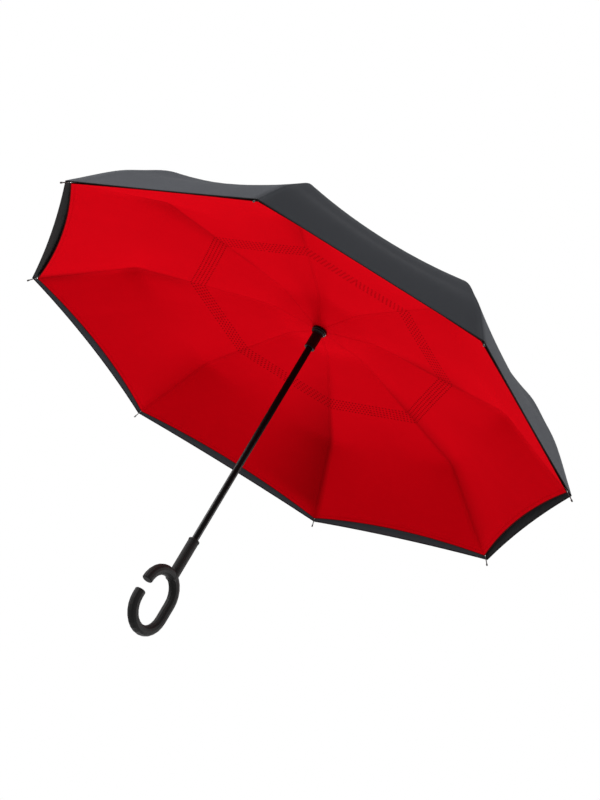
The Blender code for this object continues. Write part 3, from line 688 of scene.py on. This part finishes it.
def crease_pattern(nodes, links, mark):
    """Soft creases that run along the gores: they bump the cloth, and shade is painted into them."""
    mapping = node(nodes, "ShaderNodeMapping")
    mapping.inputs["Scale"].default_value = CREASE_STRETCH
    links.new(mark, mapping.inputs["Vector"])
    creases = node(nodes, "ShaderNodeTexNoise")
    creases.inputs["Scale"].default_value = CREASE_SCALE
    creases.inputs["Detail"].default_value = CREASE_DETAIL
    links.new(mapping.outputs[0], creases.inputs["Vector"])
    return creases.outputs["Fac"]


def stitch_pattern(sums, from_edge, run, row):
    """A row of stitches: where it lies from its edge, and the direction that it runs in."""
    in_row = sums.between(from_edge, row[0], row[1], soft=0.0003)
    wave = sums.math("SINE", sums.math("MULTIPLY", run, 2 * math.pi / STITCH_PITCH))
    return sums.math("MULTIPLY", in_row, sums.math("GREATER_THAN", wave, STITCH_GAP))


def band_pattern(sums, off, radius):
    """Rows of stitch holes in a straight band across each gore."""
    start = BAND_RADIUS - BAND_WIDTH / 2
    inside = sums.between(radius, start, BAND_RADIUS + BAND_WIDTH / 2, soft=0.0002)
    row = sums.math("DIVIDE", sums.math("SUBTRACT", radius, start), BAND_PITCH)
    shift = sums.math("MULTIPLY", sums.math("FLOOR", row), 0.5)
    column = sums.math("ADD", sums.math("DIVIDE", off, BAND_COLUMN_PITCH), shift)
    up = sums.math("POWER", sums.off_middle(row), 2.0)
    along_row = sums.math("POWER", sums.off_middle(column), 2.0)
    far = sums.math("SQRT", sums.math("ADD", up, along_row))
    size = HOLE_RADIUS / BAND_PITCH
    hole = sums.below(far, size * HOLE_REACH, soft=size * HOLE_SOFT)
    return sums.math("MULTIPLY", hole, inside)


def cloth_material(name, colour, dark, roughness, sheen, specular, last, lining):
    """Woven cloth: threads, soft creases along the gores, sewn seams over the arms, and a stitched hem, with
    shade painted into the creases, seam lines, hem edges, stitch holes and the lining's folds.
    """
    made, nodes, links = new_material(name)
    sums = Sums(nodes, links)
    shader = nodes["Principled BSDF"]
    shader.inputs["Roughness"].default_value = roughness
    shader.inputs["Sheen Weight"].default_value = sheen
    shader.inputs["Sheen Roughness"].default_value = SHEEN_ROUGHNESS
    shader.inputs["Sheen Tint"].default_value = (*colour, 1)
    shader.inputs["Specular IOR Level"].default_value = specular
    across, radius, mark = split_map(nodes, links, "cloth")
    # the second map carries painted shade: of folds on the lining, and of the outer cloth's inside
    fold, inside, _ = split_map(nodes, links, "fold")
    off = sums.math("ABSOLUTE", across)
    hem_start = last - HEM

    weave = weave_pattern(nodes, links, sums, mark)
    creases = crease_pattern(nodes, links, mark)
    seam = sums.below(off, SEAM_HALF, soft=0.0006)
    seam_line_and_crease_shade = sums.below(off, SEAM_LINE_HALF, soft=0.0010)
    hem = sums.above(radius, hem_start, soft=0.0004)
    edge = sums.above(radius, last - HEM_EDGE, soft=0.0004)
    seam_stitches = stitch_pattern(sums, off, radius, SEAM_STITCHES)
    hem_stitches = stitch_pattern(sums, sums.math("SUBTRACT", radius, hem_start), across, HEM_STITCHES)
    stitches = sums.math("MAXIMUM", seam_stitches, hem_stitches)

    # painted shade in the creases: the cloth darkens towards its shaded copy where the crease noise is high
    tint = sums.mix(sums.math("MULTIPLY", creases, CREASE_SHADE_TINT), (*colour, 1), (*dark, 1))
    tint = sums.mix(sums.math("MULTIPLY", stitches, STITCH_TINT), tint, shaded(dark, STITCH_DARK))
    # a thin dark line over each arm: partly the seam, partly shade painted into the crease along the arm
    tint = sums.mix(sums.math("MULTIPLY", seam_line_and_crease_shade, SEAM_LINE_SHADE_TINT), tint, shaded(dark, SHADE_DARK))
    if not lining:
        tint = sums.mix(inside, tint, (*INSIDE_GREY, 1))
    # painted shadow along the hem's edge, near black
    tint = sums.mix(sums.math("MULTIPLY", edge, HEM_EDGE_SHADOW_TINT), tint, (*HEM_EDGE_SHADOW_BLACK, 1))

    height = sums.math("MULTIPLY", seam, SEAM_HEIGHT)
    height = sums.math("ADD", height, sums.math("MULTIPLY", hem, HEM_HEIGHT))
    height = sums.math("SUBTRACT", height, sums.math("MULTIPLY", stitches, STITCH_DIP))
    if lining:
        # painted shade of the folds beside the arms
        tint = sums.mix(fold, tint, shaded(dark, SHADE_DARK))
        holes = band_pattern(sums, off, radius)
        # painted shade in the stitch holes
        tint = sums.mix(sums.math("MULTIPLY", holes, HOLE_SHADE_TINT), tint, shaded(dark, SHADE_DARK))
        height = sums.math("SUBTRACT", height, sums.math("MULTIPLY", holes, HOLE_DIP))
    height = sums.math("ADD", height, sums.math("MULTIPLY", weave, WEAVE_HEIGHT))
    height = sums.math("ADD", height, sums.math("MULTIPLY", creases, CREASE_HEIGHT))
    links.new(tint, shader.inputs["Base Color"])
    set_bump(nodes, links, shader, height)
    return made


def moulded_material(name, colour, roughness, grain, grain_depth, metallic, specular):
    """Moulded or painted surface with a fine grain, and a little variation in how rough it is."""
    made, nodes, links = new_material(name)
    sums = Sums(nodes, links)
    shader = nodes["Principled BSDF"]
    shader.inputs["Metallic"].default_value = metallic
    shader.inputs["Specular IOR Level"].default_value = specular
    place = node(nodes, "ShaderNodeTexCoord")
    fine = node(nodes, "ShaderNodeTexNoise")
    fine.inputs["Scale"].default_value = grain
    fine.inputs["Detail"].default_value = GRAIN_DETAIL
    links.new(place.outputs["Object"], fine.inputs["Vector"])
    wear = node(nodes, "ShaderNodeTexNoise")
    wear.inputs["Scale"].default_value = WEAR_SCALE
    wear.inputs["Detail"].default_value = WEAR_DETAIL
    links.new(place.outputs["Object"], wear.inputs["Vector"])
    share = sums.math("MULTIPLY", wear.outputs["Fac"], WEAR_TINT)
    links.new(sums.mix(share, (*colour, 1), shaded(colour, WEAR_LIGHTER)), shader.inputs["Base Color"])
    change = sums.math("MULTIPLY", wear.outputs["Fac"], WEAR_ROUGHNESS)
    links.new(sums.math("ADD", change, roughness - WEAR_ROUGHNESS / 2), shader.inputs["Roughness"])
    set_bump(nodes, links, shader, sums.math("MULTIPLY", fine.outputs["Fac"], grain_depth))
    return made


# Frame and tips

def nodes_named(name):
    """The frame's node of that name, or its copies on the arms."""
    if name in frame["nodes"]:
        return [name]
    return [f"{name}_{arm}" for arm in range(1, ARMS + 1)]


def dress_frame():
    for *finish, pieces in FINISHES:
        material = moulded_material(*finish)
        for piece in pieces:
            for name in nodes_named(piece):
                cad_node = frame["nodes"][name]
                cad_node.data.materials.clear()
                cad_node.data.materials.append(material)


def make_tips():
    sleeve_metal = moulded_material(*SLEEVE_METAL)
    pin_metal = moulded_material(*PIN_METAL)
    for arm in range(1, ARMS + 1):
        make_tip(arm, sleeve_metal, pin_metal)


def make_tip(arm, sleeve_metal, pin_metal):
    """A sleeve on the end rod, and a thin pin that bends down past the cloth's corner to a small bead."""
    foot = TIP - END_WAY * SLEEVE_FOOT
    neck = TIP - END_WAY * SLEEVE_HEAD
    end = over_rim([PIN_END])[0]
    pin_way = (end - neck).normalized()
    sleeve = (
        (foot, 0.0),
        (foot, SLEEVE_RADIUS),
        (neck - END_WAY * SLEEVE_BEVEL, SLEEVE_RADIUS),
        (neck, SLEEVE_MOUTH),
    )
    pin = (
        (neck + pin_way * PIN_ROOT[0], PIN_ROOT[1]),
        (neck + pin_way * PIN_START, PIN_RADIUS),
        (end - pin_way * BEAD_NECK, PIN_RADIUS),
        (end - pin_way * BEAD_FOOT, BEAD_RADIUS),
        (end + pin_way * BEAD_SHOULDER, BEAD_RADIUS),
        (end + pin_way * BEAD_RADIUS, 0.0),
    )
    turn = arm_angle(arm)
    out = Vector((math.cos(turn), math.sin(turn), 0))
    across = Vector((-out.y, out.x, 0))
    points, faces = [], []
    for rings, way in ((sleeve, END_WAY), (pin, pin_way)):
        up = out * -way.y + Vector((0, 0, way.x))
        for spot, radius in rings:
            centre = out * spot.x + Vector((0, 0, spot.y))
            for n in range(TIP_SIDES):
                angle = 2 * math.pi * n / TIP_SIDES
                points.append(centre + (across * math.cos(angle) + up * math.sin(angle)) * radius)
    for low in range(0, len(points) - TIP_SIDES, TIP_SIDES):
        high = low + TIP_SIDES
        for n in range(TIP_SIDES):
            m = (n + 1) % TIP_SIDES
            faces.append((low + n, low + m, high + m, high + n))
    mesh = bpy.data.meshes.new("tip")
    mesh.from_pydata(points, [], faces)
    sleeve_faces = len(sleeve) * TIP_SIDES
    for n, polygon in enumerate(mesh.polygons):
        polygon.material_index = 0 if n < sleeve_faces else 1
    shape = bmesh.new()
    shape.from_mesh(mesh)
    bmesh.ops.remove_doubles(shape, verts=shape.verts, dist=TINY)
    bmesh.ops.recalc_face_normals(shape, faces=shape.faces)
    shape.to_mesh(mesh)
    shape.free()
    mesh.shade_smooth()
    mesh.set_sharp_from_angle(angle=TIP_SHARP)
    mesh.materials.append(sleeve_metal)
    mesh.materials.append(pin_metal)
    piece = bpy.data.objects.new(f"tip_{arm}", mesh)
    bpy.context.scene.collection.objects.link(piece)
    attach(piece, f"end_arm_{arm}")
    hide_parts(f"tip_cap_{arm}")


def make_cloth():
    grey = cloth_material(
        "outer_cloth", OUTER_GREY, OUTER_GREY_DARK,
        roughness=0.80, sheen=0.05, specular=0.10, last=OUTER.last, lining=False,
    )
    red = cloth_material(
        "lining_cloth", LINING_RED, LINING_RED_DARK,
        roughness=0.85, sheen=0.0, specular=0.004, last=LINING.last, lining=True,
    )
    for arm in range(1, ARMS + 1):
        lower, upper, end = f"lower_arm_{arm}", f"upper_arm_{arm}", f"end_arm_{arm}"
        outer_zones = (
            ("outer_hub", OUTER.hole, OUTER_HUB_END, ("stick", upper), None, 0.0),
            ("outer_crown", OUTER_HUB_END, OUTER_CROWN_END, upper, KEEP_CROWN, 0.0),
            ("outer_shoulder", OUTER_CROWN_END, SHOULDER_RADIUS, lower, KEEP_SHOULDER, 0.0),
            ("outer_rim", SHOULDER_RADIUS, OUTER.last, end, KEEP_RIM, 0.0),
        )
        lining_zones = (
            ("lining_hub", LINING.hole, LINING_HUB_END, ("runner", lower), None, 0.0),
            ("lining_core", LINING_HUB_END, LINING_CORE_END, lower, KEEP_LINING_CORE, 0.0),
            ("lining_inner", LINING_CORE_END, KNEE.x, lower, KEEP_LINING_INNER, 0.0),
            ("lining_rim", KNEE.x, LINING.last, end, KEEP_LINING_RIM, KNEE_LAP),
        )
        for name, start, stop, body, keep, lap in outer_zones:
            piece = kite(f"{name}_{arm}", OUTER, arm, start, stop, grey, body, keep, lap)
            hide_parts("outer_canopy")
        for name, start, stop, body, keep, lap in lining_zones:
            piece = kite(f"{name}_{arm}", LINING, arm, start, stop, red, body, keep, lap)
            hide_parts("lining")


# Studio

def make_floor():
    finish, nodes, links = new_material("floor")
    sums = Sums(nodes, links)
    shader = nodes["Principled BSDF"]
    shader.inputs["Base Color"].default_value = FLOOR_WHITE
    shader.inputs["Roughness"].default_value = FLOOR_ROUGHNESS
    shader.inputs["Emission Color"].default_value = WHITE
    path = node(nodes, "ShaderNodeLightPath")
    glow = sums.math("MULTIPLY", path.outputs["Is Camera Ray"], FLOOR_GLOW)
    links.new(glow, shader.inputs["Emission Strength"])
    corners = [(x * FLOOR_HALF, y * FLOOR_HALF, FLOOR_Z) for x, y in ((-1, -1), (1, -1), (1, 1), (-1, 1))]
    mesh = bpy.data.meshes.new("floor")
    mesh.from_pydata(corners, [], [(0, 1, 2, 3)])
    mesh.materials.append(finish)
    floor = bpy.data.objects.new("floor", mesh)
    bpy.context.scene.collection.objects.link(floor)


def make_world():
    """White to look at, and a plain even light on the umbrella."""
    world = bpy.data.worlds.new("studio")
    bpy.context.scene.world = world
    world.use_nodes = True
    nodes, links = world.node_tree.nodes, world.node_tree.links
    sums = Sums(nodes, links)
    back = nodes["Background"]
    back.inputs["Color"].default_value = WHITE
    path = node(nodes, "ShaderNodeLightPath")
    seen = sums.math("MAXIMUM", path.outputs["Is Camera Ray"], path.outputs["Is Glossy Ray"])
    seen = sums.math("MAXIMUM", seen, path.outputs["Is Transmission Ray"])
    strength = sums.math("ADD", sums.math("MULTIPLY", seen, 1 - WORLD_AROUND), WORLD_AROUND)
    links.new(strength, back.inputs["Strength"])


def make_camera():
    data = bpy.data.cameras.new("camera")
    data.sensor_width = SENSOR_MM
    data.lens = FOCAL_PIXELS / PHOTO_HEIGHT * SENSOR_MM
    data.clip_end = CAMERA_SIGHT
    camera = bpy.data.objects.new("camera", data)
    bpy.context.scene.collection.objects.link(camera)
    turn = Matrix((CAMERA_RIGHT, -CAMERA_DOWN, -CAMERA_FORWARD)).transposed()
    camera.matrix_world = Matrix.Translation(CAMERA_PLACE) @ turn.to_4x4()
    bpy.context.scene.camera = camera


def make_light(name, turn, climb, far, size, power):
    """A round lamp that shines at the middle of the umbrella's rim."""
    turn = math.radians(turn)
    climb = math.radians(climb)
    way = Vector((math.cos(turn) * math.cos(climb), math.sin(turn) * math.cos(climb), math.sin(climb)))
    lamp = bpy.data.lights.new(name, "AREA")
    lamp.shape = "DISK"
    lamp.size = size
    lamp.energy = power
    light = bpy.data.objects.new(name, lamp)
    bpy.context.scene.collection.objects.link(light)
    light.location = way * far + Vector((0, 0, RIM_Z))
    light.rotation_euler = (-way).to_track_quat("-Z", "Y").to_euler()


def make_studio():
    make_floor()
    make_world()
    make_camera()
    for light in LIGHTS:
        make_light(*light)
    bpy.context.scene.view_settings.view_transform = "Standard"


dress_frame()
make_tips()
make_cloth()
make_studio()
